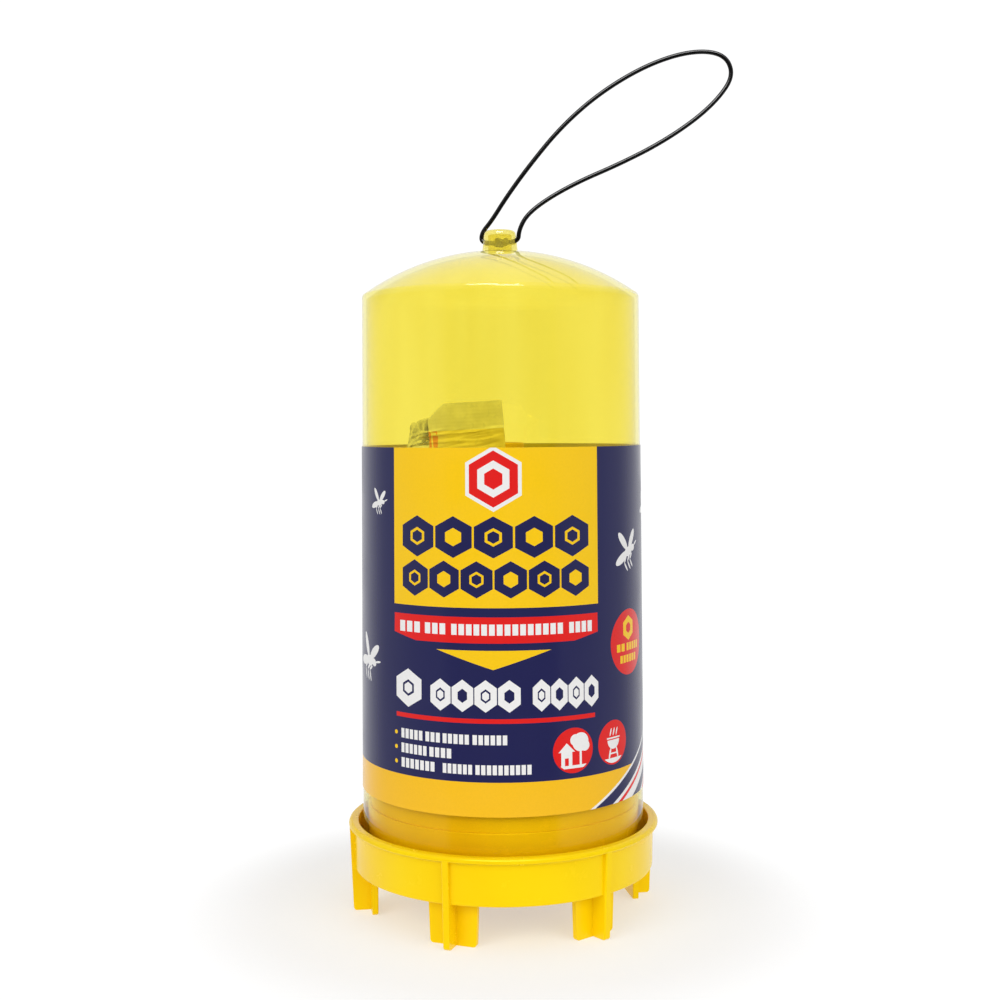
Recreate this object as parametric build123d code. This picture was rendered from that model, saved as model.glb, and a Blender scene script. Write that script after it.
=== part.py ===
from build123d import *

import math
import os

# A hanging wasp trap: a footed base with an entry cone, and a clear dome that lifts off it.
# Millimetres, +Z up. The origin is the centre of the circle that the feet stand on.
# Radii are from the trap's own axis. Azimuths are in degrees from +X, anticlockwise from above.

# ---- driving dimensions: base ----
FOOT_HEIGHT = 15.1  # ground to the underside of the floor
FLOOR_THICKNESS = 2.2
RIM_TOP = 31.6
RIM_BOTTOM_RADIUS = 53.25
RIM_WALL_RADIUS = 53.5
RIM_INNER_RADIUS = 51.7
LIP_RADIUS = 55.2
LIP_HEIGHT = 2.5
LIP_ROUND = 1.3
LIP_UNDERCUT = 0.8  # the rise of its sloping underside
LIP_UNDER_ROUND = 0.5
COLLAR_SHOULDER = 38.0  # up to here it bears on the dome's wall
COLLAR_TOP = 47.5
COLLAR_NECK_RADIUS = 47.5
COLLAR_RADIUS = 48.2
COLLAR_WALL = 2.0
COLLAR_ROUND = 0.45
EDGE_ROUND = 0.6

# ---- driving dimensions: feet ----
FOOT_COUNT = 6
FOOT_FIRST_AZIMUTH = -110.5
FOOT_PLATE_RADIUS = 47.9  # outer face of the plate
FOOT_PLATE_THICKNESS = 2.1
FOOT_PLATE_TOP_WIDTH = 17.6
FOOT_PLATE_BOTTOM_WIDTH = 16.4
FOOT_RIB_THICKNESS = 2.4
FOOT_RIB_BOTTOM_RADIUS = 53.9
FOOT_CORNER_ROUND = 1.2
FOOT_EDGE_ROUND = 0.5

# ---- driving dimensions: entry cone ----
CONE_TOP = 165.0
CONE_TOP_RADIUS = 8.15
CONE_FOOT_RADIUS = 36.5
CONE_WALL = 1.5
CONE_SKIRT_TOP = 26.0
CONE_LIP_HEIGHT = 2.0
CONE_KNEE_ROUND = 3.0  # where the skirt turns into the cone
SPIGOT_RADIUS = 35.0  # the floor's upstand that the cone's skirt pushes over
SPIGOT_TOP = 24.0
ENTRY_RADIUS = 33.2

# ---- driving dimensions: dome ----
DOME_FOOT_RADIUS = 50.2
DOME_SHOULDER_RADIUS = 48.65
DOME_SHOULDER_Z = 216.5
DOME_APEX_Z = 232.3
DOME_WALL = 1.5
SHOULDER_ROUND = 1.4
BOSS_FOOT_RADIUS = 6.3
BOSS_TOP_RADIUS = 5.5
BOSS_TOP_Z = 239.5
BOSS_ROUND = 1.6
BOSS_CAVITY_RADIUS = 4.2
BOSS_CAVITY_TOP = 237.8
CORD_HOLE_Z = 235.3
CORD_HOLE_RADIUS = 0.95
CORD_HOLE_AZIMUTH = -20.0

# ---- driving dimensions: label ----
LABEL_BOTTOM = 43.9
LABEL_TOP = 164.0
LABEL_THICKNESS = 0.2
LABEL_SEAM_ANGLE = 1.5  # the butt joint at the back

# ---- driving dimensions: hanging cord ----
CORD_DIAMETER = 1.6
CORD_EXIT_REACH = 6.9  # from the boss's axis to the turn upwards
KNOT_HALF_LENGTH = 3.3
KNOT_END_RADIUS = 0.95
KNOT_RADIUS = 1.9

# ---- driving dimensions: bait sachets ----
SACHET_WIDTH = 40.0
SACHET_LENGTH = 104.0
SACHET_THICKNESS = 5.0
SACHET_SEAL = 9.0  # the flat crimped band at each end
SACHET_SEAL_THICKNESS = 1.0
SACHET_SHOULDER = 12.0  # from the seal to where it is nearly full
SACHET_SHOULDER_FILL = 0.8

FLOOR_Z = FOOT_HEIGHT + FLOOR_THICKNESS
AXIS_X = math.cos(math.radians(CORD_HOLE_AZIMUTH))
AXIS_Y = math.sin(math.radians(CORD_HOLE_AZIMUTH))


def on_hole_axis(reach):
    """The point on the cord hole's axis at that distance from the trap's axis."""
    return (AXIS_X * reach, AXIS_Y * reach, CORD_HOLE_Z)


# The cord's route, from the knot out of the boss's rear side, round the loop and back in at its front side.
CORD_ROUTE = [
    on_hole_axis(-KNOT_HALF_LENGTH),
    on_hole_axis(-CORD_EXIT_REACH),
    (-6.5, 2.4, 239.0),
    (-2.9, 2.2, 243.2),
    (2.4, 1.9, 251.5),
    (10.3, 1.5, 262.1),
    (21.0, 1.0, 274.9),
    (33.6, 0.6, 286.0),
    (48.2, 0.3, 295.0),
    (61.7, 0.0, 300.2),
    (72.6, -0.2, 301.5),
    (79.7, -0.4, 299.2),
    (81.9, -0.5, 292.7),
    (77.3, -0.7, 285.4),
    (68.6, -0.9, 277.4),
    (55.7, -1.2, 269.0),
    (41.3, -1.5, 261.9),
    (27.8, -1.8, 256.2),
    (16.7, -2.0, 250.2),
    (9.5, -2.2, 244.7),
    (6.7, -2.4, 239.4),
    on_hole_axis(CORD_EXIT_REACH),
    on_hole_axis(KNOT_HALF_LENGTH),
]


def dome_radius(z):
    """The dome's outer radius at that height: its wall leans in a little, as a moulding does."""
    share = (z - FLOOR_Z) / (DOME_SHOULDER_Z - FLOOR_Z)
    return DOME_FOOT_RADIUS + share * (DOME_SHOULDER_RADIUS - DOME_FOOT_RADIUS)


def turned(points, rounds=()):
    """A solid turned about Z from (radius, height) points. rounds holds (radius, height, fillet) corners."""
    outline = Plane.XZ * make_face(Polyline(*points, close=True))
    for radius, height, fillet_radius in rounds:
        corner = outline.vertices().sort_by_distance((radius, 0, height))[0]
        outline = fillet(corner, fillet_radius)
    return revolve(outline, Axis.Z)


def foot():
    """One foot, on +X: a plate across the radius, and a rib that runs up the outside of the rim."""
    half_top = FOOT_PLATE_TOP_WIDTH / 2
    half_bottom = FOOT_PLATE_BOTTOM_WIDTH / 2
    plate_top = FOOT_HEIGHT + FLOOR_THICKNESS / 2
    plate_outline = make_face(
        Polyline(
            (-half_bottom, 0),
            (half_bottom, 0),
            (half_top, plate_top),
            (-half_top, plate_top),
            close=True,
        )
    )
    low = plate_outline.vertices().sort_by(Axis.Y)[:2]
    plate_plane = Plane((FOOT_PLATE_RADIUS, 0, 0), x_dir=(0, 1, 0), z_dir=(1, 0, 0))
    plate = extrude(plate_plane * fillet(low, FOOT_CORNER_ROUND), -FOOT_PLATE_THICKNESS)
    for face in (plate.faces().sort_by(Axis.X)[-1], plate.faces().sort_by(Axis.X)[0]):
        plate = fillet(face.edges(), FOOT_EDGE_ROUND)

    inside_wall = (RIM_INNER_RADIUS + RIM_BOTTOM_RADIUS) / 2
    inner = FOOT_PLATE_RADIUS - FOOT_PLATE_THICKNESS / 2
    rib_top = RIM_TOP - LIP_HEIGHT / 2
    rib_outline = make_face(
        Polyline(
            (inner, 0),
            (FOOT_RIB_BOTTOM_RADIUS, 0),
            (LIP_RADIUS - 0.1, rib_top),
            (inside_wall, rib_top),
            (inside_wall, plate_top),
            (inner, plate_top),
            close=True,
        )
    )
    toe = rib_outline.vertices().sort_by_distance((FOOT_RIB_BOTTOM_RADIUS, 0))[0]
    rib = extrude(Plane.XZ * fillet(toe, FOOT_CORNER_ROUND), FOOT_RIB_THICKNESS / 2, both=True)
    for face in (rib.faces().sort_by(Axis.Y)[-1], rib.faces().sort_by(Axis.Y)[0]):
        outer_edges = face.edges().filter_by(lambda edge: edge.center().X > inside_wall + 1)
        outer_edges = outer_edges.filter_by(lambda edge: edge.center().Z < rib_top - FOOT_EDGE_ROUND)
        rib = fillet(outer_edges, FOOT_EDGE_ROUND)
    return plate + rib


def base():
    """The tray: floor, rim with its lip, collar for the dome, spigot for the cone, and six feet."""
    lip_bottom = RIM_TOP - LIP_HEIGHT
    under_edge = lip_bottom + LIP_UNDERCUT
    collar_inner = COLLAR_RADIUS - COLLAR_WALL
    tray = turned(
        [
            (ENTRY_RADIUS, FOOT_HEIGHT),
            (RIM_BOTTOM_RADIUS, FOOT_HEIGHT),
            (RIM_WALL_RADIUS, lip_bottom),
            (LIP_RADIUS, under_edge),
            (LIP_RADIUS, RIM_TOP),
            (RIM_INNER_RADIUS, RIM_TOP),
            (RIM_INNER_RADIUS, FLOOR_Z),
            (COLLAR_RADIUS, FLOOR_Z),
            (COLLAR_RADIUS, COLLAR_SHOULDER),
            (COLLAR_NECK_RADIUS, COLLAR_SHOULDER),
            (COLLAR_NECK_RADIUS, COLLAR_TOP),
            (collar_inner, COLLAR_TOP),
            (collar_inner, FLOOR_Z),
            (SPIGOT_RADIUS, FLOOR_Z),
            (SPIGOT_RADIUS, SPIGOT_TOP),
            (ENTRY_RADIUS, SPIGOT_TOP),
        ],
        [
            (RIM_BOTTOM_RADIUS, FOOT_HEIGHT, EDGE_ROUND),
            (RIM_WALL_RADIUS, lip_bottom, LIP_UNDER_ROUND),
            (LIP_RADIUS, under_edge, LIP_UNDER_ROUND),
            (LIP_RADIUS, RIM_TOP, LIP_ROUND),
            (RIM_INNER_RADIUS, RIM_TOP, EDGE_ROUND),
            (COLLAR_RADIUS, COLLAR_SHOULDER, COLLAR_ROUND),
            (COLLAR_NECK_RADIUS, COLLAR_TOP, COLLAR_ROUND),
            (collar_inner, COLLAR_TOP, COLLAR_ROUND),
            (collar_inner, FLOOR_Z, EDGE_ROUND),
            (SPIGOT_RADIUS, SPIGOT_TOP, EDGE_ROUND),
        ],
    )
    for number in range(FOOT_COUNT):
        azimuth = FOOT_FIRST_AZIMUTH + number * 360 / FOOT_COUNT
        tray += Rot(0, 0, azimuth) * foot()
    return tray


def entry_cone():
    """The funnel that wasps climb: a skirt over the base's spigot, a long cone and a thickened mouth."""
    top_inner = CONE_TOP_RADIUS - CONE_WALL
    lip_bottom = CONE_TOP - CONE_LIP_HEIGHT
    return turned(
        [
            (SPIGOT_RADIUS, FLOOR_Z),
            (CONE_FOOT_RADIUS, FLOOR_Z),
            (CONE_FOOT_RADIUS, CONE_SKIRT_TOP),
            (CONE_TOP_RADIUS, lip_bottom),
            (CONE_TOP_RADIUS, CONE_TOP),
            (top_inner, CONE_TOP),
            (top_inner, lip_bottom),
            (CONE_FOOT_RADIUS - CONE_WALL, CONE_SKIRT_TOP),
        ],
        [
            (CONE_TOP_RADIUS, CONE_TOP, EDGE_ROUND),
            (CONE_FOOT_RADIUS, CONE_SKIRT_TOP, CONE_KNEE_ROUND),
        ],
    )


def cap_arc(foot_radius, foot_z, apex_z):
    """The arc of a spherical cap, from its foot to the axis, in the XZ plane."""
    rise = apex_z - foot_z
    sphere = (foot_radius**2 + rise**2) / (2 * rise)
    half_turn = math.asin(foot_radius / sphere) / 2
    middle = (sphere * math.sin(half_turn), apex_z - sphere * (1 - math.cos(half_turn)))
    return ThreePointArc((foot_radius, foot_z), middle, (0, apex_z))


def dome():
    """The clear vessel: a drafted wall, a shallow cap and a hollow boss with a cross hole for the cord."""
    outline = make_face(
        [
            Line((0, FLOOR_Z), (DOME_FOOT_RADIUS, FLOOR_Z)),
            Line((DOME_FOOT_RADIUS, FLOOR_Z), (DOME_SHOULDER_RADIUS, DOME_SHOULDER_Z)),
            cap_arc(DOME_SHOULDER_RADIUS, DOME_SHOULDER_Z, DOME_APEX_Z),
            Line((0, DOME_APEX_Z), (0, FLOOR_Z)),
        ]
    )
    shoulder = outline.vertices().sort_by_distance((DOME_SHOULDER_RADIUS, DOME_SHOULDER_Z))[0]
    outer = revolve(Plane.XZ * fillet(shoulder, SHOULDER_ROUND), Axis.Z)
    boss = turned(
        [
            (0, DOME_APEX_Z - 2 * DOME_WALL),
            (BOSS_FOOT_RADIUS, DOME_APEX_Z - 2 * DOME_WALL),
            (BOSS_FOOT_RADIUS, DOME_APEX_Z),
            (BOSS_TOP_RADIUS, BOSS_TOP_Z),
            (0, BOSS_TOP_Z),
        ],
        [(BOSS_TOP_RADIUS, BOSS_TOP_Z, BOSS_ROUND)],
    )
    hollow_foot = DOME_FOOT_RADIUS - DOME_WALL
    hollow_shoulder = DOME_SHOULDER_RADIUS - DOME_WALL
    hollow_z = DOME_SHOULDER_Z - SHOULDER_ROUND
    hollow_apex = DOME_APEX_Z - DOME_WALL
    hollow = revolve(
        Plane.XZ
        * make_face(
            [
                Line((0, FLOOR_Z), (hollow_foot, FLOOR_Z)),
                Line((hollow_foot, FLOOR_Z), (hollow_shoulder, hollow_z)),
                cap_arc(hollow_shoulder, hollow_z, hollow_apex),
                Line((0, hollow_apex), (0, FLOOR_Z)),
            ]
        ),
        Axis.Z,
    )
    cavity_height = BOSS_CAVITY_TOP - (hollow_apex - DOME_WALL)
    cavity = Pos(0, 0, BOSS_CAVITY_TOP - cavity_height / 2) * Cylinder(
        BOSS_CAVITY_RADIUS, cavity_height
    )
    cross_hole = (
        Pos(0, 0, CORD_HOLE_Z)
        * Rot(0, 0, CORD_HOLE_AZIMUTH)
        * Rot(0, 90, 0)
        * Cylinder(CORD_HOLE_RADIUS, 4 * BOSS_FOOT_RADIUS)
    )
    return outer + boss - hollow - cavity - cross_hole


def label():
    """The printed sleeve, wrapped round the dome's wall and butted at the back."""
    low = dome_radius(LABEL_BOTTOM)
    high = dome_radius(LABEL_TOP)
    strip = Plane.XZ * make_face(
        Polyline(
            (low, LABEL_BOTTOM),
            (low + LABEL_THICKNESS, LABEL_BOTTOM),
            (high + LABEL_THICKNESS, LABEL_TOP),
            (high, LABEL_TOP),
            close=True,
        )
    )
    wrap = revolve(strip, Axis.Z, revolution_arc=360 - LABEL_SEAM_ANGLE)
    return Rot(0, 0, 90 + LABEL_SEAM_ANGLE / 2) * wrap


def hanging_cord():
    """The cord's tube. Each arc is as large as its two runs allow."""
    points = [Vector(*point) for point in CORD_ROUTE]
    radii = []
    for before, corner, after in zip(points, points[1:], points[2:]):
        arriving = corner - before
        leaving = after - corner
        half_turn = math.radians(arriving.get_angle(leaving)) / 2
        shorter = min(arriving.length, leaving.length)
        radii.append(0.45 * shorter / math.tan(half_turn))
    path = FilletPolyline(*points, radius=radii)
    start = Plane(origin=path @ 0, z_dir=path % 0)
    tube = sweep(start * Circle(CORD_DIAMETER / 2), path=path)
    expected = math.pi * (CORD_DIAMETER / 2) ** 2 * path.length
    print("cord radii", [round(radius, 1) for radius in radii])
    print("cord length", round(path.length, 1), "volume", round(tube.volume, 2), "of", round(expected, 2))
    return tube


def cord_knot():
    """The knot that joins the cord's two ends inside the boss, as a barrel on the hole's axis."""
    barrel = make_face(
        [
            Line((-KNOT_HALF_LENGTH, 0), (KNOT_HALF_LENGTH, 0)),
            Line((KNOT_HALF_LENGTH, 0), (KNOT_HALF_LENGTH, KNOT_END_RADIUS)),
            ThreePointArc(
                (KNOT_HALF_LENGTH, KNOT_END_RADIUS),
                (0, KNOT_RADIUS),
                (-KNOT_HALF_LENGTH, KNOT_END_RADIUS),
            ),
            Line((-KNOT_HALF_LENGTH, KNOT_END_RADIUS), (-KNOT_HALF_LENGTH, 0)),
        ]
    )
    knot = revolve(barrel, Axis.X)
    return Pos(0, 0, CORD_HOLE_Z) * Rot(0, 0, CORD_HOLE_AZIMUTH) * knot


def sachet(azimuth, distance, bottom_z, lean, roll):
    """A pillow pack, its face square to the radius at azimuth, leaning outwards at the top."""
    half = SACHET_LENGTH / 2
    swell = half - SACHET_SEAL
    seal = SACHET_SEAL_THICKNESS / 2
    belly = SACHET_THICKNESS / 2
    shoulder = swell - SACHET_SHOULDER
    shoulder_fill = belly * SACHET_SHOULDER_FILL
    swollen = Spline(
        (swell, seal),
        (shoulder, shoulder_fill),
        (0, belly),
        (-shoulder, shoulder_fill),
        (-swell, seal),
    )
    upper = [
        Line((half, seal), (swell, seal)),
        swollen,
        Line((-swell, seal), (-half, seal)),
    ]
    lower = [edge.mirror(Plane.XZ) for edge in upper]
    ends = [Line((half, seal), (half, -seal)), Line((-half, seal), (-half, -seal))]
    pack = extrude(make_face(upper + lower + ends), SACHET_WIDTH / 2, both=True)
    upright = Rot(0, -90, 0) * pack
    return (
        Rot(0, 0, azimuth)
        * Pos(distance, 0, bottom_z + half)
        * Rot(0, lean, 0)
        * Rot(roll, 0, 0)
        * Rot(0, 0, 90)
        * upright
    )


def front_sachet():
    return sachet(azimuth=-113.5, distance=34.2, bottom_z=74.8, lean=6.5, roll=2.5)


def rear_sachet():
    return sachet(azimuth=48.0, distance=36.0, bottom_z=56.0, lean=4.0, roll=4.0)


NODES = {
    "base": base,
    "entry_cone": entry_cone,
    "dome": dome,
    "label": label,
    "hanging_cord": hanging_cord,
    "cord_knot": cord_knot,
    "bait_sachet_front": front_sachet,
    "bait_sachet_rear": rear_sachet,
}

os.makedirs("parts", exist_ok=True)
for node, build in NODES.items():
    export_step(build(), f"parts/{node}.step")
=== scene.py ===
import math

import bpy
from mathutils import Matrix, Vector, noise


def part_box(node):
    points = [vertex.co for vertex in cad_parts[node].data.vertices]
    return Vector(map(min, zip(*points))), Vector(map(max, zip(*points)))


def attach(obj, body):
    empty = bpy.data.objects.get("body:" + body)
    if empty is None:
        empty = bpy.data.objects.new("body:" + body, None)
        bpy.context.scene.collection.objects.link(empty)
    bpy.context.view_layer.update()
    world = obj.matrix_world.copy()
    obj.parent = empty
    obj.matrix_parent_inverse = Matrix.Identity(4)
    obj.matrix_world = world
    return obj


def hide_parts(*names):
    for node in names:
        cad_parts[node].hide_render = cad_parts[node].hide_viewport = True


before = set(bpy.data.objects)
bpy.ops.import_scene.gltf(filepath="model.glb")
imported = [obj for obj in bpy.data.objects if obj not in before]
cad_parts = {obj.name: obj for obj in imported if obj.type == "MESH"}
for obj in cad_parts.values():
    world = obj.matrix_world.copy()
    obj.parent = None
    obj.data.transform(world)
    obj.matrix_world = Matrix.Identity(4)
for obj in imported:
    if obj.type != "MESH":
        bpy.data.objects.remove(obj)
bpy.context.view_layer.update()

# The looks of a hanging wasp trap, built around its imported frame. Metres, +Z up, the frame's own axes.

# ---- sizes that the frame gives ----
DOME_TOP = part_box("dome")[1].z
LABEL_BOTTOM, LABEL_TOP = [corner.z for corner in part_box("label")]

# ---- the cord and its knot, as part.py routes them ----
CORD_DIAMETER = 0.0016
CORD_HOLE_Z = 0.2353
CORD_HOLE_AZIMUTH = math.radians(-20.0)
CORD_EXIT_REACH = 0.0069
KNOT_HALF_LENGTH = 0.0033
KNOT_TAIL = 0.75  # the share of that half length where the straight tails end
KNOT_OFFSET = 0.0006  # towards the front strand
KNOT_STEPS = 18
KNOT_REACH = 2.0  # the knot's curve runs from minus this to this
KNOT_ALONG = 0.00085  # the curve's scales: along the hole, across it and up
KNOT_ACROSS = 0.00025
KNOT_UP = 0.00048

# ---- camera ----
CAMERA_DISTANCE = 0.5157
CAMERA_HEIGHT = 0.1718
CAMERA_LENS = 52.29  # millimetres, on a sensor 36 wide
CAMERA_YAW = 0.0010  # radians, as the next two are
CAMERA_PITCH = -0.0528
CAMERA_ROLL = -0.0060


def on_hole_axis(reach):
    """The point on the cord hole's axis at that distance from the trap's axis."""
    return (math.cos(CORD_HOLE_AZIMUTH) * reach, math.sin(CORD_HOLE_AZIMUTH) * reach, CORD_HOLE_Z)


CORD_ROUTE = [
    on_hole_axis(-KNOT_HALF_LENGTH),
    on_hole_axis(-CORD_EXIT_REACH),
    (-0.0065, 0.0024, 0.2390),
    (-0.0029, 0.0022, 0.2432),
    (0.0024, 0.0019, 0.2515),
    (0.0103, 0.0015, 0.2621),
    (0.0210, 0.0010, 0.2749),
    (0.0336, 0.0006, 0.2860),
    (0.0482, 0.0003, 0.2950),
    (0.0617, 0.0000, 0.3002),
    (0.0726, -0.0002, 0.3015),
    (0.0797, -0.0004, 0.2992),
    (0.0819, -0.0005, 0.2927),
    (0.0773, -0.0007, 0.2854),
    (0.0686, -0.0009, 0.2774),
    (0.0557, -0.0012, 0.2690),
    (0.0413, -0.0015, 0.2619),
    (0.0278, -0.0018, 0.2562),
    (0.0167, -0.0020, 0.2502),
    (0.0095, -0.0022, 0.2447),
    (0.0067, -0.0024, 0.2394),
    on_hole_axis(CORD_EXIT_REACH),
    on_hole_axis(KNOT_HALF_LENGTH),
]


# ---- node graphs ----
class Graph:
    """Wires a node tree. Each call returns an output socket, and takes sockets or plain values."""

    def __init__(self, tree):
        self.tree = tree
        tree.nodes.clear()

    def add(self, kind, inputs=(), output=0, **settings):
        node = self.tree.nodes.new(kind)
        for name, value in settings.items():
            setattr(node, name, value)
        for key, value in dict(inputs).items():
            self.feed(node.inputs[key], value)
        return node.outputs[output]

    def feed(self, socket, value):
        if isinstance(value, bpy.types.NodeSocket):
            self.tree.links.new(value, socket)
        else:
            socket.default_value = value

    def math(self, operation, *values):
        return self.add("ShaderNodeMath", enumerate(values), operation=operation)

    def vector_math(self, operation, *values, output=0):
        return self.add("ShaderNodeVectorMath", enumerate(values), output, operation=operation)

    def ramp(self, value, low, high, start=0.0, end=1.0):
        """value, smoothly from start at low to end at high."""
        inputs = {0: value, 1: low, 2: high, 3: start, 4: end}
        return self.add("ShaderNodeMapRange", inputs, interpolation_type="SMOOTHSTEP")

    def mix(self, share, first, second):
        """The first colour where share is 0, the second where it is 1."""
        inputs = {0: share, 6: first, 7: second}
        return self.add("ShaderNodeMix", inputs, 2, data_type="RGBA", clamp_factor=True)

    def choose(self, share, first, second):
        """The first number where share is 0, the second where it is 1."""
        return self.add("ShaderNodeMix", {0: share, 2: first, 3: second})

    def mix_shader(self, share, first, second):
        return self.add("ShaderNodeMixShader", {0: share, 1: first, 2: second})

    def place(self, output="Object"):
        return self.add("ShaderNodeTexCoord", output=output)

    def noise(self, place, scale, detail=2.0, roughness=0.5):
        inputs = {"Vector": place, "Scale": scale, "Detail": detail, "Roughness": roughness}
        return self.add("ShaderNodeTexNoise", inputs)

    def bump(self, height, strength, distance):
        inputs = {"Height": height, "Strength": strength, "Distance": distance}
        return self.add("ShaderNodeBump", inputs)

    def surface(self, shader):
        self.add_output("ShaderNodeOutputMaterial", shader)

    def add_output(self, kind, shader):
        node = self.tree.nodes.new(kind)
        self.tree.links.new(shader, node.inputs["Surface"])


def new_material(name):
    material = bpy.data.materials.new(name)
    material.use_nodes = True
    return material, Graph(material.node_tree)


def linear(red, green, blue):
    """A colour given as it shows on screen, from 0 to 255, as the shader wants it."""
    shares = [channel / 255 for channel in (red, green, blue)]
    return (*[s / 12.92 if s <= 0.04045 else ((s + 0.055) / 1.055) ** 2.4 for s in shares], 1.0)


PURE_WHITE = (1.0, 1.0, 1.0, 1.0)
FLOOR_PALE = (0.93, 0.93, 0.93, 1.0)
SLEEVE_BLACK = linear(4, 4, 5)
SLEEVE_WORN = linear(13, 13, 14)
BASE_DEEP = linear(249, 207, 2)
BASE_LIGHT = linear(252, 216, 6)
CONE_DEEP = linear(248, 202, 2)
CONE_LIGHT = linear(252, 212, 6)
PLASTIC_GLOSS = (1.0, 0.80, 0.12, 1.0)  # the opaque plastic tints what it reflects
CLEAR_TINT_DEEP = (0.985, 0.938, 0.500, 1.0)  # what one face of the dome's wall lets through
CLEAR_TINT_PALE = (0.995, 0.955, 0.550, 1.0)
BOSS_YELLOW = linear(255, 236, 60)
NAVY = linear(36, 37, 84)
GOLD = linear(252, 203, 12)
ORANGE = linear(250, 193, 28)
RED = linear(229, 30, 28)
WHITE = linear(240, 239, 238)
FILM_DEEP = linear(232, 231, 226)
FILM_LIGHT = linear(246, 246, 243)
FOIL_DEEP = linear(238, 238, 230)
FOIL_LIGHT = linear(252, 252, 246)
FOIL_GROUND = linear(250, 236, 150)
FOIL_INK = linear(243, 160, 40)


# ---- stage: camera, light and floor ----
BACKDROP = 1.06  # how bright the backdrop is to the camera
AMBIENT = 0.62  # and as the light that falls on matt surfaces
MIRRORED = (0.88, 0.42, 0.24, 0.05)  # and in reflections: behind the trap, beside it, before it, ahead
MIRRORED_FROM = (150.0, 105.0, 50.0, 40.0)  # the azimuths from dead ahead where each is reached
DIM_TOP = 24.0  # degrees above the horizon, where the dim part of the room ends
SOFT_EDGE = 6.0
KEY_POWER = 3.8
FILL_SHARE = 0.85
STRIP_POWER = 14.0
SOFTBOX_DISTANCE = 1.1
SOFTBOX_WIDTH = 0.80
SOFTBOX_HEIGHT = 0.50
FLOOR_RADIUS = 0.14
FLOOR_EDGES = 96
FLOOR_PLAIN_FROM, FLOOR_PLAIN_TO = 0.080, 0.135  # where the floor melts into the backdrop
FLOOR_GLOW = 0.45  # and how far it has done so under the trap


def make_camera():
    data = bpy.data.cameras.new("camera")
    data.lens = CAMERA_LENS
    data.sensor_width = 36.0
    data.clip_start = 0.01
    camera = make_object("camera", data)
    camera.matrix_world = (
        Matrix.Translation((0, -CAMERA_DISTANCE, CAMERA_HEIGHT))
        @ Matrix.Rotation(CAMERA_YAW, 4, "Z")
        @ Matrix.Rotation(math.pi / 2 + CAMERA_PITCH, 4, "X")
        @ Matrix.Rotation(CAMERA_ROLL, 4, "Z")
    )
    bpy.context.scene.camera = camera


def make_world():
    """White all round, but in reflections the part before the trap is dim, as a room behind a camera is."""
    world = bpy.data.worlds.new("studio")
    world.use_nodes = True
    bpy.context.scene.world = world
    graph = Graph(world.node_tree)
    direction = graph.place("Generated")
    level = graph.vector_math("NORMALIZE", graph.vector_math("MULTIPLY", direction, (1, 1, 0)))
    ahead = graph.vector_math("DOT_PRODUCT", level, (0, -1, 0), output=1)
    height = graph.vector_math("DOT_PRODUCT", direction, (0, 0, 1), output=1)
    steps = [math.cos(math.radians(azimuth)) for azimuth in MIRRORED_FROM]
    mirrored = MIRRORED[0]
    for number in range(1, len(steps)):
        fall = MIRRORED[number] - MIRRORED[number - 1]
        step = graph.ramp(ahead, steps[number - 1], steps[number], 0.0, fall)
        mirrored = graph.math("ADD", mirrored, step)
    low = math.sin(math.radians(DIM_TOP - SOFT_EDGE))
    high = math.sin(math.radians(DIM_TOP + SOFT_EDGE))
    mirrored = graph.choose(graph.ramp(height, low, high), mirrored, MIRRORED[0])
    is_camera = graph.add("ShaderNodeLightPath", output="Is Camera Ray")
    is_glossy = graph.add("ShaderNodeLightPath", output="Is Glossy Ray")
    strength = graph.choose(is_camera, graph.choose(is_glossy, AMBIENT, mirrored), BACKDROP)
    background = graph.add("ShaderNodeBackground", {"Color": PURE_WHITE, "Strength": strength})
    graph.add_output("ShaderNodeOutputWorld", background)


def make_softbox(name, azimuth, elevation, power, mirrored):
    """A rectangular light, seen either in reflections or in the light it casts.

    Its azimuth is in degrees from the trap's front, to the right as the camera sees it.
    """
    data = bpy.data.lights.new(name, "AREA")
    data.shape = "RECTANGLE"
    data.size = SOFTBOX_WIDTH
    data.size_y = SOFTBOX_HEIGHT
    data.energy = power
    light = make_object(name, data)
    turn = math.radians(azimuth)
    rise = math.radians(elevation)
    away = Vector((math.sin(turn) * math.cos(rise), -math.cos(turn) * math.cos(rise), math.sin(rise)))
    middle = Vector((0, 0, DOME_TOP / 2))
    light.location = middle + away * SOFTBOX_DISTANCE
    light.rotation_mode = "QUATERNION"
    light.rotation_quaternion = away.to_track_quat("Z", "Y")
    light.visible_camera = False
    light.visible_glossy = mirrored
    light.visible_diffuse = not mirrored


def make_floor():
    """A round pale floor that melts into the backdrop."""
    corners = []
    for number in range(FLOOR_EDGES):
        turn = 2 * math.pi * number / FLOOR_EDGES
        corners.append((FLOOR_RADIUS * math.cos(turn), FLOOR_RADIUS * math.sin(turn), 0))
    floor = mesh_piece("floor", corners, [range(FLOOR_EDGES)])
    material, graph = new_material("floor_pale")
    reach = graph.vector_math("LENGTH", graph.place(), output=1)
    pale = graph.add("ShaderNodeBsdfPrincipled", {"Base Color": FLOOR_PALE, "Roughness": 0.8})
    plain = graph.add("ShaderNodeEmission", {"Color": PURE_WHITE, "Strength": BACKDROP})
    share = graph.ramp(reach, FLOOR_PLAIN_FROM, FLOOR_PLAIN_TO, FLOOR_GLOW, 1.0)
    graph.surface(graph.mix_shader(share, pale, plain))
    floor.data.materials.append(material)


# ---- making pieces ----
SHARP_ANGLE = math.radians(50.0)
SAME_RING = 0.0003  # vertices this near in height are one ring


def make_object(name, data):
    made = bpy.data.objects.new(name, data)
    bpy.context.scene.collection.objects.link(made)
    return made


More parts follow.
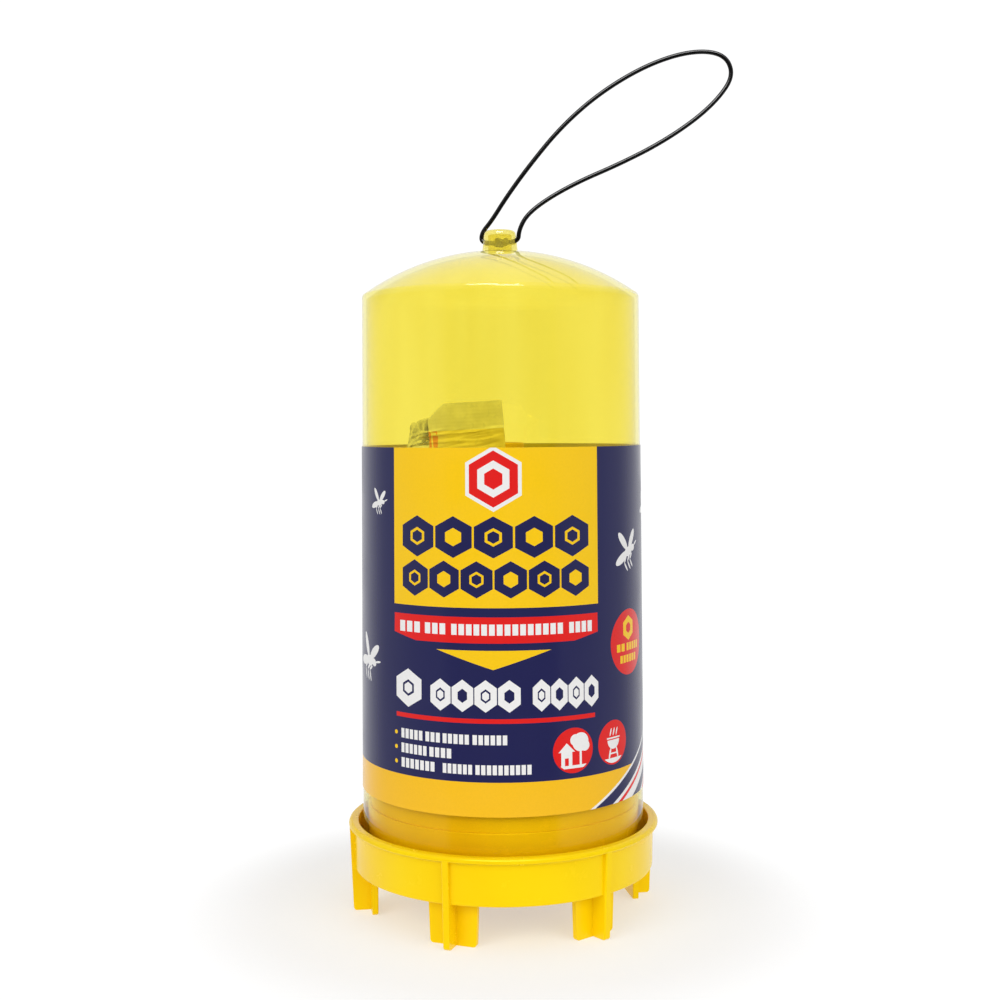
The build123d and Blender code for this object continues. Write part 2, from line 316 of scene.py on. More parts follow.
def mesh_piece(name, vertices, faces, smooth=False):
    mesh = bpy.data.meshes.new(name)
    mesh.from_pydata(vertices, [], faces)
    mesh.validate()
    mesh.polygons.foreach_set("use_smooth", [smooth] * len(mesh.polygons))
    if smooth:
        mesh.set_sharp_from_angle(angle=SHARP_ANGLE)
    mesh.update()
    return make_object(name, mesh)


def grid_faces(rows, columns, first=0, flipped=False):
    """Quads over a grid of rows by columns points, numbered from first."""
    quads = []
    for row in range(rows - 1):
        for column in range(columns - 1):
            corner = first + row * columns + column
            quad = (corner, corner + 1, corner + columns + 1, corner + columns)
            quads.append(quad[::-1] if flipped else quad)
    return quads


def smooth_step(value):
    value = min(1.0, max(0.0, value))
    return value * value * (3 - 2 * value)


def outer_radius(node, height):
    """A turned CAD node's outer radius near that height."""
    places = [vertex.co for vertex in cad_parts[node].data.vertices]
    nearest = min(abs(place.z - height) for place in places)
    ring = [place for place in places if abs(place.z - height) < nearest + SAME_RING]
    return max(math.hypot(place.x, place.y) for place in ring)


# ---- the cord and its knot ----
def cord_curve(name, route):
    curve = bpy.data.curves.new(name, "CURVE")
    curve.dimensions = "3D"
    spline = curve.splines.new("NURBS")
    spline.points.add(len(route) - 1)
    for point, place in zip(spline.points, route):
        point.co = (*place, 1.0)
    spline.order_u = 3
    spline.use_endpoint_u = True
    spline.resolution_u = 10
    curve.bevel_depth = CORD_DIAMETER / 2
    curve.bevel_resolution = 6
    curve.use_fill_caps = True
    return make_object(name, curve)


def cord_material():
    """Black sleeved cord: a glossy skin with faint drag lines along it."""
    material, graph = new_material("cord_black_sleeve")
    place = graph.place()
    wear = graph.noise(place, 900.0, detail=4.0)
    shade = graph.mix(wear, SLEEVE_BLACK, SLEEVE_WORN)
    rough = graph.ramp(graph.noise(place, 260.0), 0.3, 0.7, 0.14, 0.24)
    bump = graph.bump(wear, 0.25, 0.00005)
    inputs = {"Base Color": shade, "Roughness": rough, "Normal": bump, "Specular IOR Level": 0.4}
    graph.surface(graph.add("ShaderNodeBsdfPrincipled", inputs))
    return material


def knot_route():
    """An open overhand knot on the hole's axis, from one cord end to the other."""
    along = Vector((math.cos(CORD_HOLE_AZIMUTH), math.sin(CORD_HOLE_AZIMUTH), 0))
    across = Vector((-along.y, along.x, 0))
    middle = Vector((0, 0, CORD_HOLE_Z))
    end = along * KNOT_HALF_LENGTH
    route = [middle - end, middle - end * KNOT_TAIL]
    for step in range(KNOT_STEPS + 1):
        turn = -KNOT_REACH + 2 * KNOT_REACH * step / KNOT_STEPS
        forward = turn**3 - 3 * turn
        upward = turn**4 - 4 * turn**2 + 2
        sideways = turn**5 - 5.5 * turn**3 + 4 * turn
        place = along * (forward * KNOT_ALONG + KNOT_OFFSET) + across * sideways * KNOT_ACROSS
        route.append(middle + place - Vector((0, 0, upward * KNOT_UP)))
    return route + [middle + end * KNOT_TAIL, middle + end]


def make_cord():
    material = cord_material()
    knot = cord_curve("cord_overhand_knot", knot_route())
    knot.data.materials.append(material)
    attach(knot, "loop")
    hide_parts("cord_knot")
    cord = cord_curve("hanging_cord_loop", CORD_ROUTE)
    cord.data.materials.append(material)
    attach(cord, "loop")
    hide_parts("hanging_cord")


# ---- moulded plastics ----
def yellow_plastic(name, deep, light, roughness, mould_mark):
    """Opaque glossy polypropylene: faint flow clouds, a satin mould grain and small scuffs."""
    material, graph = new_material(name)
    place = graph.place()
    clouds = graph.ramp(graph.noise(place, 22.0, detail=3.0), 0.3, 0.7)
    grain = graph.noise(place, 2600.0, detail=2.0)
    scuffs = graph.ramp(graph.noise(place, 140.0, detail=8.0, roughness=0.7), 0.56, 0.74)
    rough = graph.math("MULTIPLY_ADD", scuffs, 0.14, roughness)
    height = graph.math("MULTIPLY_ADD", scuffs, -0.4, grain)
    inputs = {
        "Base Color": graph.mix(clouds, deep, light),
        "Roughness": rough,
        "Normal": graph.bump(height, mould_mark, 0.00003),
        "Specular Tint": PLASTIC_GLOSS,
    }
    graph.surface(graph.add("ShaderNodeBsdfPrincipled", inputs))
    return material


BOSS_FOOT_Z = 0.2323
BOSS_CLOUD = 0.22  # how much of its light the thick, bubbled plastic of the boss scatters at each face
MIRROR_HEAD_ON = 0.04  # what a face reflects when seen straight on


def clear_plastic():
    """The dome's clear plastic: a tint with faint flow marks under a hard gloss, clouded in the boss."""
    material, graph = new_material("dome_clear_yellow")
    place = graph.place()
    stretched = graph.vector_math("MULTIPLY", place, (1.0, 1.0, 0.12))
    flow = graph.ramp(graph.noise(stretched, 60.0, detail=3.0), 0.35, 0.65)
    height = graph.add("ShaderNodeSeparateXYZ", {0: place}, 2)
    tint = graph.mix(flow, CLEAR_TINT_DEEP, CLEAR_TINT_PALE)
    facing = graph.add("ShaderNodeLayerWeight", {"Blend": 0.5}, output="Facing")
    glancing = graph.math("POWER", facing, 5.0)
    mirror = graph.math("MULTIPLY_ADD", glancing, 1 - MIRROR_HEAD_ON, MIRROR_HEAD_ON)
    scratches = graph.ramp(graph.noise(place, 900.0, detail=6.0, roughness=0.7), 0.60, 0.75)
    rough = graph.math("MULTIPLY_ADD", scratches, 0.10, 0.03)
    bump = graph.bump(graph.noise(place, 45.0, detail=1.0), 0.25, 0.00025)
    clear = graph.add("ShaderNodeBsdfTransparent", {"Color": tint})
    bubbles = graph.ramp(graph.noise(place, 420.0), 0.3, 0.7, 0.8 * BOSS_CLOUD, 1.2 * BOSS_CLOUD)
    in_boss = graph.ramp(height, BOSS_FOOT_Z - 0.0005, BOSS_FOOT_Z + 0.0015)
    clouded = graph.math("MULTIPLY", in_boss, bubbles)
    cloud = {"Base Color": BOSS_YELLOW, "Roughness": 0.4, "Normal": bump}
    body = graph.mix_shader(clouded, clear, graph.add("ShaderNodeBsdfPrincipled", cloud))
    hard = {"Color": PURE_WHITE, "Roughness": rough, "Normal": bump}
    gloss = graph.add("ShaderNodeBsdfAnisotropic", hard)
    graph.surface(graph.mix_shader(mirror, body, gloss))
    return material


def dress(node, material):
    """Gives a CAD node's object that material."""
    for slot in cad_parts[node].material_slots:
        slot.material = material


# ---- the label's print ----
LABEL_ARC_RADIUS = 49.4  # millimetres, which the print is measured on
SIGN_RADIUS = 7.5
WASP_NARROWING = 0.76
SMALL_PRINT_PITCH = 3.1


class Field:
    """A number that varies over a surface. Arithmetic on it adds Math nodes; & and | join shapes."""

    def __init__(self, graph, socket):
        self.graph = graph
        self.socket = socket

    def math(self, operation, *others):
        values = [getattr(other, "socket", other) for other in others]
        return Field(self.graph, self.graph.math(operation, self.socket, *values))

    def __add__(self, other):
        return self.math("ADD", other)

    def __sub__(self, other):
        return self.math("SUBTRACT", other)

    def __mul__(self, other):
        return self.math("MULTIPLY", other)

    def __and__(self, other):
        return self.math("MULTIPLY", other)

    def __or__(self, other):
        return self.math("MAXIMUM", other)

    def __lt__(self, other):
        return self.math("LESS_THAN", other)

    def __gt__(self, other):
        return self.math("GREATER_THAN", other)

    def outside(self):
        return self.math("LESS_THAN", 0.5)

    def between(self, low, high):
        return self.math("COMPARE", (low + high) / 2, (high - low) / 2)

    def wrapped(self, pitch):
        """The distance past the last whole pitch."""
        return self.math("WRAP", pitch, 0.0)


class Sheet:
    """A flat sheet to print on, with coordinates across and up. Each shape is 1 inside and 0 outside."""

    def __init__(self, graph, across, up):
        self.graph = graph
        self.across = across
        self.up = up
        self.place = graph.add("ShaderNodeCombineXYZ", {0: across.socket, 1: up.socket, 2: 1.0})

    def plane(self, x, y, offset):
        """x times across plus y times up plus offset."""
        height = self.graph.vector_math("DOT_PRODUCT", self.place, (x, y, offset), output=1)
        return Field(self.graph, height)

    def turned(self, x, y, angle, scale):
        """The sheet's coordinates about that point, in axes turned by that many degrees, over scale."""
        ahead_x = math.cos(math.radians(angle)) / scale
        ahead_y = math.sin(math.radians(angle)) / scale
        across = self.plane(ahead_x, ahead_y, -x * ahead_x - y * ahead_y)
        return across, self.plane(-ahead_y, ahead_x, x * ahead_y - y * ahead_x)

    def box(self, left, right, bottom, top):
        return self.across.between(left, right) & self.up.between(bottom, top)

    def disc(self, x, y, radius):
        reach = self.graph.vector_math("DISTANCE", self.place, (x, y, 1), output=1)
        return Field(self.graph, reach) < radius

    def oval(self, x, y, half_length, half_width, turn):
        """An ellipse whose long axis is turned that many degrees from across."""
        ahead, aside = self.turned(x, y, turn, half_length)
        aside = aside * (half_length / half_width)
        return ahead.math("MULTIPLY_ADD", ahead, aside * aside) < 1.0

    def line(self, x0, y0, x1, y1, width):
        """A stroke that tapers to both ends."""
        length = math.hypot(x1 - x0, y1 - y0)
        turn = math.degrees(math.atan2(y1 - y0, x1 - x0))
        return self.oval((x0 + x1) / 2, (y0 + y1) / 2, length / 2, width / 2, turn)

    def polygon(self, *points):
        """A convex outline, anticlockwise."""
        shape = None
        for (x0, y0), (x1, y1) in zip(points, points[1:] + points[:1]):
            side = self.plane(y0 - y1, x1 - x0, (y1 - y0) * x0 + (x0 - x1) * y0) > 0.0
            shape = side if shape is None else shape & side
        return shape

    def hexagon(self, x, y):
        """The reach of the upright hexagon about that point on which a place lies."""
        offset = self.graph.vector_math("SUBTRACT", self.place, (x, y, 1))
        folded = self.graph.vector_math("ABSOLUTE", offset)
        reaches = []
        for normal in ((1.155, 0, 0), (0.577, 1, 0)):
            reach = self.graph.vector_math("DOT_PRODUCT", folded, normal, output=1)
            reaches.append(Field(self.graph, reach))
        return reaches[0].math("MAXIMUM", reaches[1])

    def words(self, bottom, top, letters, *spans, gap=0.26):
        """Plain blocks on one line, letters of them per millimetre, from and to those places across."""
        shape = None
        for left, right in spans:
            count = max(1, round((right - left) * letters))
            pitch = (right - left) / (count - gap)
            inked = (self.across - left).wrapped(pitch) < pitch * (1 - gap)
            word = inked & self.across.between(left, right)
            shape = word if shape is None else shape | word
        return shape & self.up.between(bottom, top)

    def wasps(self, *spots):
        """Flying wasps from the side, wings up and legs trailing. Each spot is x, y, size and lean."""
        across = up = 9.0
        for x, y, size, lean in spots:
            near = self.box(x - size * 0.75, x + size * 0.75, y - size * 0.62, y + size * 0.68)
            local_across, local_up = self.turned(x, y, lean, size)
            local_across *= WASP_NARROWING
            across = self.graph.choose(near.socket, across, local_across.socket)
            up = self.graph.choose(near.socket, up, local_up.socket)
        one = Sheet(self.graph, Field(self.graph, across), Field(self.graph, up))
        shape = one.oval(0.03, 0.00, 0.15, 0.12, 15)
        shape |= one.oval(0.23, 0.06, 0.09, 0.085, 0)
        shape |= one.oval(-0.23, -0.13, 0.25, 0.105, 32)
        shape |= one.oval(-0.17, 0.29, 0.27, 0.085, 122)
        shape |= one.oval(0.19, 0.29, 0.26, 0.085, 60)
        for forward, reach in ((-0.05, -0.26), (0.08, -0.24), (0.18, -0.20)):
            shape |= one.line(forward, -0.06, forward - 0.10, reach, 0.055)
            shape |= one.line(forward - 0.10, reach, forward + 0.02, reach - 0.22, 0.045)
        return shape | one.line(0.28, 0.09, 0.46, 0.20, 0.045)


def honeycomb_row(sheet, left, right, bottom, top, cells):
    """Heavy hexagon cells in a row, in place of a title. Every other one has a filled middle."""
    pitch = (right - left) / cells
    radius = (top - bottom) / 2
    widened = 0.95 * pitch / (1.732 * radius)
    offset = (sheet.across - left).wrapped(pitch) - pitch / 2
    local = Sheet(sheet.graph, offset * (1 / widened), sheet.up)
    other = (sheet.across - left).wrapped(2 * pitch) < pitch
    reach = local.hexagon(0, (bottom + top) / 2)
    walls = reach.between(radius * 0.44, radius)
    core = (reach < radius * 0.30) & other
    return (walls | core) & sheet.across.between(left, right)


def house_and_tree(sheet, x, y):
    """A gabled house with a door, beside a tree, inside a round sign."""
    house = sheet.box(x - 4.6, x - 0.6, y - 5.0, y - 0.2)
    house |= sheet.polygon((x - 5.6, y - 0.4), (x + 0.4, y - 0.4), (x - 2.6, y + 2.6))
    house &= sheet.box(x - 3.3, x - 1.9, y - 5.0, y - 2.4).outside()
    tree = sheet.disc(x + 2.6, y + 2.6, 3.1)
    tree |= sheet.disc(x + 0.6, y + 3.4, 1.9)
    tree |= sheet.disc(x + 4.3, y + 1.2, 1.8)
    tree |= sheet.box(x + 2.2, x + 3.0, y - 5.0, y + 1.0)
    ground = sheet.box(x - 6.0, x + 6.0, y - 5.9, y - 4.9)
    return (house | tree | ground) & sheet.disc(x, y, SIGN_RADIUS * 0.92)


def grill(sheet, x, y):
    """A kettle grill on its stand, with three wisps of steam, inside a round sign."""
    bowl = sheet.disc(x, y + 0.9, 3.1) & (sheet.up < y + 0.9)
    stand = sheet.line(x - 1.4, y - 1.6, x - 2.4, y - 5.4, 0.8)
    stand |= sheet.line(x + 1.4, y - 1.6, x + 2.4, y - 5.4, 0.8)
    rim = sheet.box(x - 3.4, x + 3.4, y + 1.3, y + 1.8)
    shelf = sheet.box(x - 1.9, x + 1.9, y - 3.9, y - 3.4)
    steam = None
    for offset in (-1.5, 0.1, 1.7):
        wisp = sheet.line(x + offset - 0.4, y + 2.3, x + offset + 0.4, y + 4.9, 0.6)
        steam = wisp if steam is None else steam | wisp
    ground = sheet.disc(x, y, SIGN_RADIUS * 0.92) & (sheet.up < y - 5.2)
    return bowl | stand | rim | shelf | steam | ground


def info_panel(sheet, left, right, bottom, top):
    """A block of small print, with every line broken into words."""
    line = (sheet.up - bottom).wrapped(SMALL_PRINT_PITCH)
    row = (sheet.up - bottom).math("DIVIDE", SMALL_PRINT_PITCH).math("FLOOR")
    stretched = {0: (sheet.across * 0.33).socket, 1: (row * 7.0).socket}
    spot = sheet.graph.add("ShaderNodeCombineXYZ", stretched)
    broken = Field(sheet.graph, sheet.graph.noise(spot, 1.0, detail=3.0)) < 0.56
    return line.between(0.9, 2.3) & broken & sheet.box(left, right, bottom, top)


def print_panel(sheet, ink):
    """The gold panel with its pointer, honeycomb in place of the large title, and a cell within a cell."""
    ink(sheet.box(-39.8, 34.2, 112.2, 170.0), GOLD)
    ink(sheet.polygon((-22.1, 98.35), (-3.0, 92.1), (16.1, 98.35)), GOLD)
    ink(honeycomb_row(sheet, -36.0, 30.6, 128.3, 141.9, 5), NAVY)
    ink(honeycomb_row(sheet, -36.0, 30.6, 115.3, 127.4, 6), NAVY)
    emblem = sheet.hexagon(-2.6, 153.9)
    ink(emblem < 10.6, WHITE)
    ink(emblem < 9.2, RED)
    ink(emblem.between(3.4, 6.0), WHITE)


def print_banner(sheet, ink):
    """The red banner with cut lower corners, and its slogan as blocks."""
    banner = ((-39.8, 102.9), (-30.1, 100.7), (24.4, 100.7), (34.0, 102.9), (33.9, 109.2), (-39.7, 109.2))
    ink(sheet.polygon(*banner), RED)
    slogan = ((-37.0, -28.4), (-26.4, -18.9), (-16.8, 20.2), (22.5, 31.4))
    ink(sheet.words(103.3, 106.9, 0.40, *slogan), WHITE)


def print_title(sheet, ink):
    """The white title, its rule and the three lines of points under it."""
    ink(honeycomb_row(sheet, -39.2, -27.6, 78.2, 91.0, 1), WHITE)
    ink(honeycomb_row(sheet, -24.6, 6.0, 78.2, 88.8, 4), WHITE)
    ink(honeycomb_row(sheet, 9.6, 34.2, 78.2, 88.8, 4), WHITE)
    ink(sheet.box(-38.9, 32.5, 74.6, 76.1), RED)
    lines = {
        69.2: ((-36.6, -27.6), (-26.4, -21.0), (-20.0, -11.0), (-9.8, 1.4)),
        64.3: ((-36.6, -26.0), (-24.9, -17.0)),
        59.4: ((-36.6, -23.0), (-20.0, -10.0), (-8.9, 9.2)),
    }
    for height, spans in lines.items():
        ink(sheet.words(height - 1.6, height + 1.6, 0.55, *spans), WHITE)
        ink(sheet.disc(-39.1, height, 0.7), GOLD)


def print_signs(sheet, ink):
    """Round signs: where to hang the trap, and what is inside."""
    ink(sheet.disc(23.9, 64.5, SIGN_RADIUS), RED)
    ink(house_and_tree(sheet, 23.9, 64.5), WHITE)
    ink(sheet.disc(41.3, 64.8, SIGN_RADIUS), RED)
    ink(grill(sheet, 41.3, 64.8), WHITE)
    ink(sheet.disc(51.4, 97.5, 11.2), RED)
    ink(sheet.hexagon(51.2, 102.3).between(1.9, 4.2), GOLD)
    ink(sheet.words(94.6, 97.2, 0.5, (43.6, 48.4), (49.8, 59.4)), GOLD)
    ink(sheet.words(90.6, 93.2, 0.5, (45.6, 57.2)), GOLD)


def print_wasps(sheet, ink):
    """Three wasps in front and two round the sides."""
    wasps = sheet.wasps(
        (-48.9, 145.4, 8.6, -6.0),
        (-57.6, 91.0, 15.0, -16.0),
        (51.2, 128.2, 13.6, 4.0),
        (72.0, 142.0, 10.0, -14.0),
        (-76.0, 122.0, 11.0, 12.0),
    )
    ink(wasps, WHITE)


def print_corner(sheet, ink):
    """The striped corner, low on the right: bands of navy and red that follow its slanting edge."""
    depth = sheet.up - (sheet.across - 30.3) * 0.5 - 43.9
    corner = (depth < 0.0) & sheet.box(30.3, 112.0, 40.0, 68.0)
    ink(corner, WHITE)
    band = (depth * -1.0).wrapped(10.5)
    ink(corner & band.between(1.0, 5.2), NAVY)
    ink(corner & band.between(6.6, 8.0), RED)


def print_back(sheet, ink):
    """A panel of small print on each side of the seam."""
    for side in (-1, 1):
        left, right = sorted((side * 88.0, side * 132.0))
        ink(sheet.box(left, right, 60.0, 156.0), WHITE)
        ink(sheet.box(left, right, 149.0, 156.0), GOLD)
        ink(info_panel(sheet, left + 2.5, right - 2.5, 62.0, 146.0), NAVY)


def label_print(graph):
    """The sleeve's printed colours, in millimetres round the trap from its front and up from the ground."""
    x, y, z = [graph.add("ShaderNodeSeparateXYZ", {0: graph.place()}, output) for output in range(3)]
    round_turn = graph.math("ARCTAN2", x, graph.math("MULTIPLY", y, -1.0))
    across = Field(graph, graph.math("MULTIPLY", round_turn, LABEL_ARC_RADIUS))
    up = Field(graph, graph.math("MULTIPLY", z, 1000.0))
    sheet = Sheet(graph, across, up)
    paint = NAVY

    def ink(shape, colour):
        nonlocal paint
        paint = graph.mix(shape.socket, paint, colour)

    ink(up < 55.3, ORANGE)
    print_panel(sheet, ink)
    print_banner(sheet, ink)
    print_title(sheet, ink)
    print_signs(sheet, ink)
    print_wasps(sheet, ink)
    print_corner(sheet, ink)
    print_back(sheet, ink)
    return paint


# ---- the label's film ----
LABEL_SEGMENTS = 384
LABEL_ROWS = 28
LABEL_LAP = math.radians(4.0)
LABEL_GAP = 0.00004
LABEL_FILM = 0.00016
LABEL_CAD_THICKNESS = 0.0002
LABEL_RIPPLE = 0.00004


def label_materials():
    """The printed face, and the bare white film of its back and edges."""
    printed, graph = new_material("label_printed_face")
    place = graph.place()
    speckle = graph.noise(place, 1400.0, detail=2.0)
    paint = label_print(graph)
    evenness = graph.ramp(speckle, 0.2, 0.8, 0.98, 1.015)
    worn = graph.add("ShaderNodeHueSaturation", {"Color": paint, "Value": evenness})
    rough = graph.ramp(graph.noise(place, 70.0, detail=4.0), 0.3, 0.7, 0.16, 0.24)
    bump = graph.bump(graph.noise(place, 38.0, detail=2.0), 0.12, 0.0002)
    inputs = {"Base Color": worn, "Roughness": rough, "Normal": bump}
    graph.surface(graph.add("ShaderNodeBsdfPrincipled", inputs))

    film, graph = new_material("label_white_film")
    fibres = graph.noise(graph.place(), 800.0, detail=5.0)
    inputs = {
        "Base Color": graph.mix(fibres, FILM_DEEP, FILM_LIGHT),
        "Roughness": 0.55,
        "Normal": graph.bump(fibres, 0.2, 0.00003),
    }
    graph.surface(graph.add("ShaderNodeBsdfPrincipled", inputs))
    return printed, film


def make_label():
    """The sleeve: a film wrapped round the wall, its end lapped over its start at the back."""
    low_radius = outer_radius("label", LABEL_BOTTOM) - LABEL_CAD_THICKNESS
    high_radius = outer_radius("label", LABEL_TOP) - LABEL_CAD_THICKNESS
    sweep = 2 * math.pi + LABEL_LAP
    columns = LABEL_SEGMENTS + 1
    inner = []
    outer = []
    for row in range(LABEL_ROWS + 1):
        share = row / LABEL_ROWS
        height = LABEL_BOTTOM + share * (LABEL_TOP - LABEL_BOTTOM)
        for column in range(columns):
            turned = sweep * column / LABEL_SEGMENTS
            azimuth = math.pi / 2 - LABEL_LAP / 2 + turned
            lapped = smooth_step((turned - 2 * math.pi + LABEL_LAP / 3) / (LABEL_LAP / 3))
            direction = Vector((math.cos(azimuth), math.sin(azimuth), 0))
            ripple = noise.noise(Vector((direction.x * 3, direction.y * 3, height * 60))) * LABEL_RIPPLE
            radius = low_radius + share * (high_radius - low_radius) + LABEL_GAP + ripple
            radius += lapped * (LABEL_FILM + LABEL_GAP)
            inner.append(direction * radius + Vector((0, 0, height)))
            outer.append(direction * (radius + LABEL_FILM) + Vector((0, 0, height)))
    count = len(inner)
    faces = grid_faces(LABEL_ROWS + 1, columns, first=count)
    printed_faces = len(faces)
    faces += grid_faces(LABEL_ROWS + 1, columns, flipped=True)
    last_row = LABEL_ROWS * columns
    for column in range(LABEL_SEGMENTS):
        faces.append((column, column + 1, count + column + 1, count + column))
        top = last_row + column
        faces.append((count + top, count + top + 1, top + 1, top))
    for row in range(LABEL_ROWS):
        start = row * columns
        end = start + columns - 1
        faces.append((start, count + start, count + start + columns, start + columns))
        faces.append((end + columns, count + end + columns, count + end, end))
    label = mesh_piece("label_sleeve", inner + outer, faces, smooth=True)
    for material in label_materials():
        label.data.materials.append(material)
    for polygon in label.data.polygons:
        polygon.material_index = 0 if polygon.index < printed_faces else 1
    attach(label, "vessel")
    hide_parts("label")


# ---- bait sachets ----
SACHET_WIDTH = 0.040
SACHET_LENGTH = 0.104
SACHET_SEAL = 0.009
SACHET_COLUMNS = 52
SACHET_ROWS = 340
SWELL = SACHET_LENGTH / 2 - SACHET_SEAL  # from the middle to the seals
FOIL_HALF = 0.00012
BELLY = 0.0019
DENTS = 0.0004
BUCKLE = 0.0011  # how far the whole packet is bent out of flat
GATHER = 0.0009  # how deep the creases beside a seal are
CRIMP = 0.00002
CRIMP_PITCH = 0.0012
RUMPLE = 0.0009  # how crumpled a turned back corner is
CREASE_MEAN = 0.35
CREASE_OCTAVES = 3
# Each fold: its angle in degrees, its radius, and its lines, across and up from the packet's middle.
FRONT_FOLDS = [
    (172.0, 0.0005, ((-0.0067, 0.0472), (0.0002, 0.0524)), ((-0.0200, 0.0462), (-0.0067, 0.0472))),
    (42.0, 0.0006, ((-0.0112, 0.0380), (-0.0067, 0.0469))),
]


def sachet_place(node, lean, roll):
    """Where a sachet lies: its face square to the radius through it, then leaned outwards and rolled."""
    low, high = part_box(node)
    middle = (low + high) / 2
    azimuth = math.atan2(middle.y, middle.x)
    return (
        Matrix.Translation(middle)
        @ Matrix.Rotation(azimuth, 4, "Z")
        @ Matrix.Rotation(math.radians(lean), 4, "Y")
        @ Matrix.Rotation(math.radians(roll), 4, "X")
    )


def folded(place, angle, radius, *lines):
    """place, in a sachet's own frame, bent back by angle about the nearest line if it is left of them all."""
    nearest = None
    for start, end in lines:
        line = Vector((0, end[0] - start[0], end[1] - start[1])).normalized()
        away = Vector((0, -line.z, line.y))
        origin = Vector((0, *start))
        beyond = (place - origin).dot(away)
        if nearest is None or beyond < nearest[0]:
            nearest = beyond, line, away, origin
    beyond, line, away, origin = nearest
    if beyond <= 0:
        return place
    offset = place - origin
    out = Vector((1, 0, 0))
    turned = min(beyond / radius, math.radians(angle))
    straight = beyond - radius * turned
    bent_away = away * math.cos(turned) - out * math.sin(turned)
    bent_out = out * math.cos(turned) + away * math.sin(turned)
    corner = away * math.sin(turned) - out * (1 - math.cos(turned))
    return origin + line * offset.dot(line) + corner * radius + bent_away * straight + bent_out * offset.x


def crumple(place, size, seed):
    """Sharp creases, as in foil: the ridges of a fractal noise."""
    total = 0.0
    weight = 1.0
    for octave in range(CREASE_OCTAVES):
        spot = Vector((place[0] / size, place[1] / size, seed + octave * 7.3)) * 2**octave
        total += weight * (0.5 - abs(noise.noise(spot)))
        weight *= 0.5
    return total


def sachet_skin(across, up, side, seed, folds):
    """A place on the skin, in a sachet's own frame. side is 1 on its outward face and -1 on the other."""
    filled = smooth_step((SWELL - abs(up)) / 0.016)
    rounded = (1 - abs(across / (SACHET_WIDTH / 2)) ** 2.6) ** 0.6
    in_seal = smooth_step((abs(up) - SWELL) / 0.001)
    near_seal = math.exp(-abs(SWELL - abs(up)) / 0.014) * (1 - in_seal)
    thickness = FOIL_HALF + BELLY * filled * rounded
    thickness += DENTS * filled * rounded * crumple((across, up), 0.011, seed + side)
    gather = crumple((across * 0.10, up - 0.12 * across), 0.0022, seed + 20) - CREASE_MEAN
    buckle = crumple((across, up), 0.019, seed + 40) - CREASE_MEAN
    shift = GATHER * gather * near_seal * (0.35 + rounded)
    shift += BUCKLE * buckle * (1 - 0.6 * in_seal)
    shift += CRIMP * in_seal * math.sin(2 * math.pi * up / CRIMP_PITCH)
    if folds:
        in_corner = smooth_step((-0.0070 - across) / 0.002) * smooth_step((up - 0.030) / 0.004)
        shift += RUMPLE * in_corner * (crumple((across, up), 0.0045, seed + 60) - CREASE_MEAN)
    place = Vector((side * thickness + shift, across, up))
    for fold in folds:
        place = folded(place, *fold)
    return place


def make_sachet(name, node, lean, roll, seed, folds):
    """A filled foil packet with a crimped seal at each end, creased and folded."""
    world_place = sachet_place(node, lean, roll)
    points = []
    for side in (1, -1):
        for row in range(SACHET_ROWS + 1):
            up = SACHET_LENGTH * (row / SACHET_ROWS - 0.5)
            for column in range(SACHET_COLUMNS + 1):
                across = SACHET_WIDTH * (column / SACHET_COLUMNS - 0.5)
                points.append(world_place @ sachet_skin(across, up, side, seed, folds))
    rows = SACHET_ROWS + 1
    columns = SACHET_COLUMNS + 1
    count = rows * columns
    faces = grid_faces(rows, columns)
    faces += grid_faces(rows, columns, first=count, flipped=True)
    for column in range(columns - 1):
        top = (rows - 1) * columns + column
        faces.append((column + 1, column, count + column, count + column + 1))
        faces.append((top, top + 1, count + top + 1, count + top))
    for row in range(rows - 1):
        start = row * columns
        end = start + columns - 1
        faces.append((start, start + columns, count + start + columns, count + start))
        faces.append((end + columns, end, count + end, count + end + columns))
    sachet = mesh_piece(name, points, faces, smooth=True)
    sachet.data.materials.append(foil_material(name + "_foil", world_place))
    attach(sachet, "tray")
    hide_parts(node)


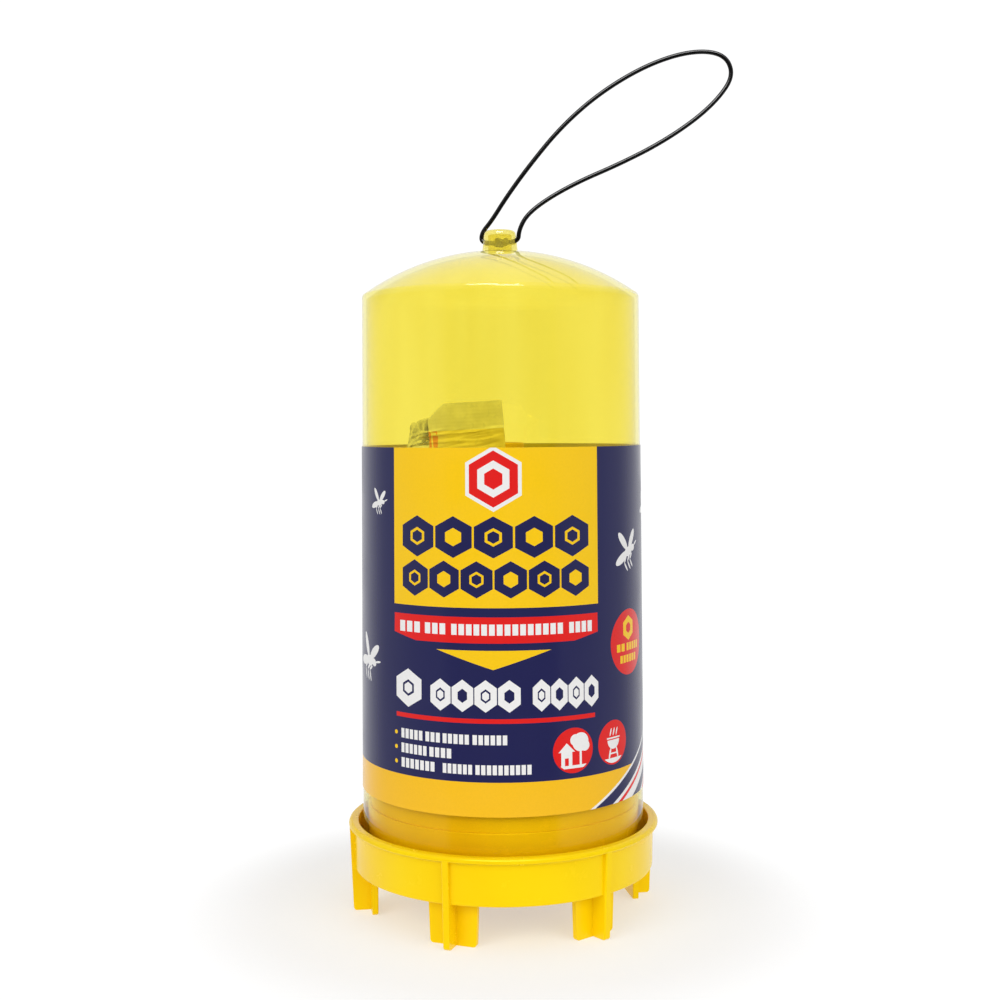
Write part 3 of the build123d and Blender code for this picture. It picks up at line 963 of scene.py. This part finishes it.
def foil_material(name, place):
    """Printed foil: bare silver at the seals, and honey cells on a warm ground between them."""
    material, graph = new_material(name)
    back = place.inverted()
    inputs = {0: graph.place(), 1: back.translation, 2: back.to_euler()}
    local = graph.add("ShaderNodeMapping", inputs, vector_type="POINT")
    across = Field(graph, graph.add("ShaderNodeSeparateXYZ", {0: local}, 1)) * 1000.0
    up = Field(graph, graph.add("ShaderNodeSeparateXYZ", {0: local}, 2)) * 1000.0
    printed = up.between(-43.0, 43.0)
    comb = {"Vector": local, "Scale": 130.0}
    cells = graph.add("ShaderNodeTexVoronoi", comb, feature="DISTANCE_TO_EDGE")
    banded = ((up < 33.0) & ((up + across * 0.6).wrapped(17.0) < 9.5)) | (across < -4.2)
    bare = (across < -7.4) & (up > 30.0)
    inked = printed & (Field(graph, cells) > 0.03) & banded & bare.outside()
    tarnish = graph.ramp(graph.noise(local, 160.0, detail=3.0), 0.35, 0.65)
    paint = graph.mix(tarnish, FOIL_DEEP, FOIL_LIGHT)
    paint = graph.mix((printed & bare.outside()).socket, paint, FOIL_GROUND)
    paint = graph.mix(inked.socket, paint, FOIL_INK)
    metal = graph.ramp(bare.socket, 0.0, 1.0, 0.05, 0.85)
    rough = graph.ramp(graph.noise(local, 500.0, detail=4.0), 0.3, 0.7, 0.26, 0.40)
    rough = graph.math("SUBTRACT", rough, (bare * 0.14).socket)
    bump = graph.bump(graph.noise(local, 700.0, detail=5.0), 0.35, 0.0001)
    inputs = {"Base Color": paint, "Metallic": metal, "Roughness": rough, "Normal": bump}
    graph.surface(graph.add("ShaderNodeBsdfPrincipled", inputs))
    return material


# ---- the scene ----
bpy.context.scene.view_settings.view_transform = "Standard"
make_camera()
make_world()
make_softbox("left_softbox", -40.0, 26.0, KEY_POWER, False)
make_softbox("right_softbox", 40.0, 26.0, KEY_POWER * FILL_SHARE, False)
make_softbox("strip_softbox", -3.0, 50.0, STRIP_POWER, True)
make_floor()

make_cord()
dress("base", yellow_plastic("base_yellow", BASE_DEEP, BASE_LIGHT, 0.24, 0.25))
dress("entry_cone", yellow_plastic("cone_yellow", CONE_DEEP, CONE_LIGHT, 0.30, 0.3))
dress("dome", clear_plastic())
make_label()
make_sachet("bait_sachet_front_pack", "bait_sachet_front", 6.5, 2.5, 3.0, FRONT_FOLDS)
make_sachet("bait_sachet_rear_pack", "bait_sachet_rear", 4.0, 4.0, 11.0, [])
